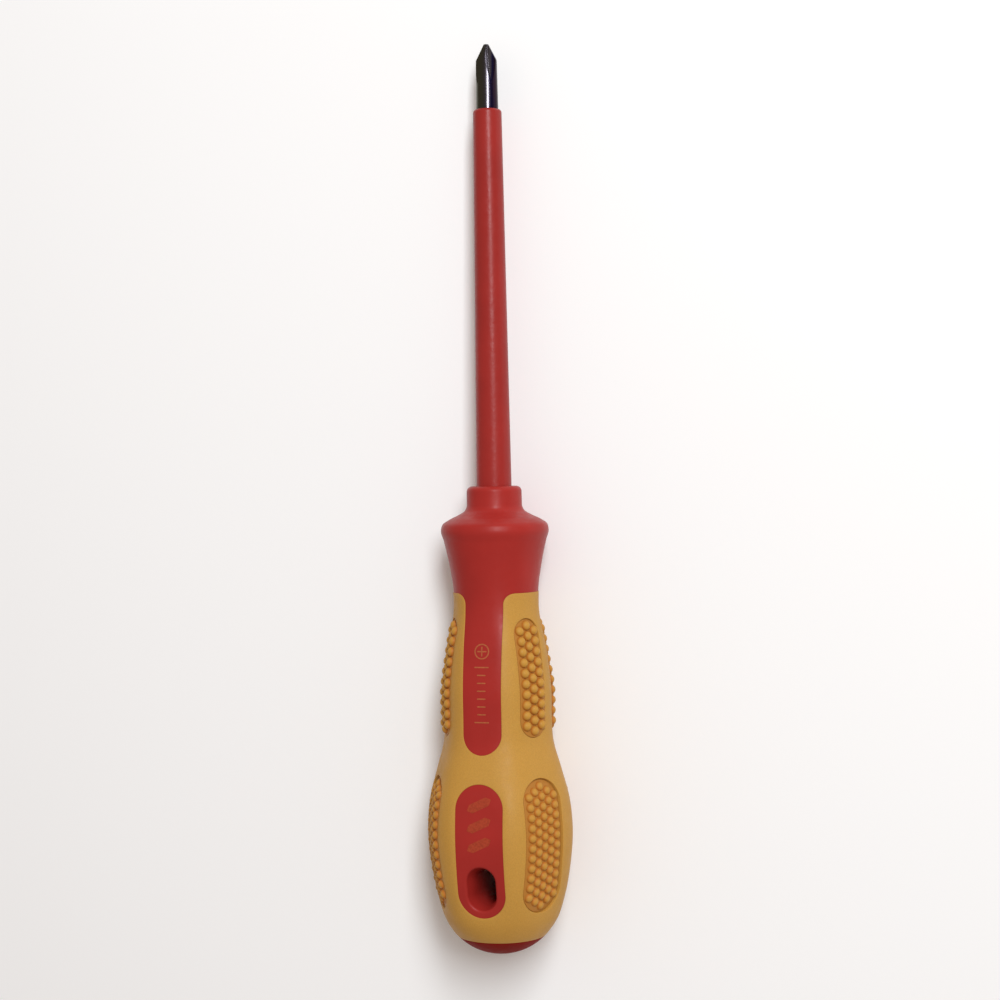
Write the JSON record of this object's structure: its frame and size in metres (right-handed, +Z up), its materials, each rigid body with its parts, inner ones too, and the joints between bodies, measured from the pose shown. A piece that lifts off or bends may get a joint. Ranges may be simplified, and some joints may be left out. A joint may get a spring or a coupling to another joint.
{
  "type": "insulated screwdriver",
  "caption": "Insulated cross-tip screwdriver: steel blade in a red sleeve, red and yellow bulged handle with dotted soft pads and a hanging hole through the butt.",
  "frame": {"origin": "on the surface the tool lies on, under the middle of its bounding box", "axes": "+X towards the blade tip, +Z up, out of the front window of the handle; the tool's own axis runs 2.8 degrees nose-down from +X, as it lies on bulge and shoulder"},
  "size_m": [0.206, 0.0332, 0.0309],
  "materials": {
    "blade_steel": "dark polished tool steel, slightly blued",
    "sleeve_red": "satin red insulation with a fine orange-peel skin",
    "core_black": "plain hard moulding, hidden inside the handle",
    "body_red": "satin red hard plastic",
    "cap_red": "satin red hard plastic",
    "grip_yellow": "warm yellow grip plastic with a fine grain",
    "pad_amber": "amber soft plastic moulded into round beads"
  },
  "bodies": {
    "root": {"blade": "blade_steel", "blade_sleeve": "sleeve_red", "handle_core": "core_black", "handle_body": "body_red", "end_cap": "cap_red", "soft_grip": "grip_yellow", "upper_pad_front_left": "pad_amber", "upper_pad_front_right": "pad_amber", "upper_pad_back_left": "pad_amber", "upper_pad_back_right": "pad_amber", "lower_pad_front_left": "pad_amber", "lower_pad_front_right": "pad_amber", "lower_pad_back_left": "pad_amber", "lower_pad_back_right": "pad_amber"}
  },
  "joints": []
}
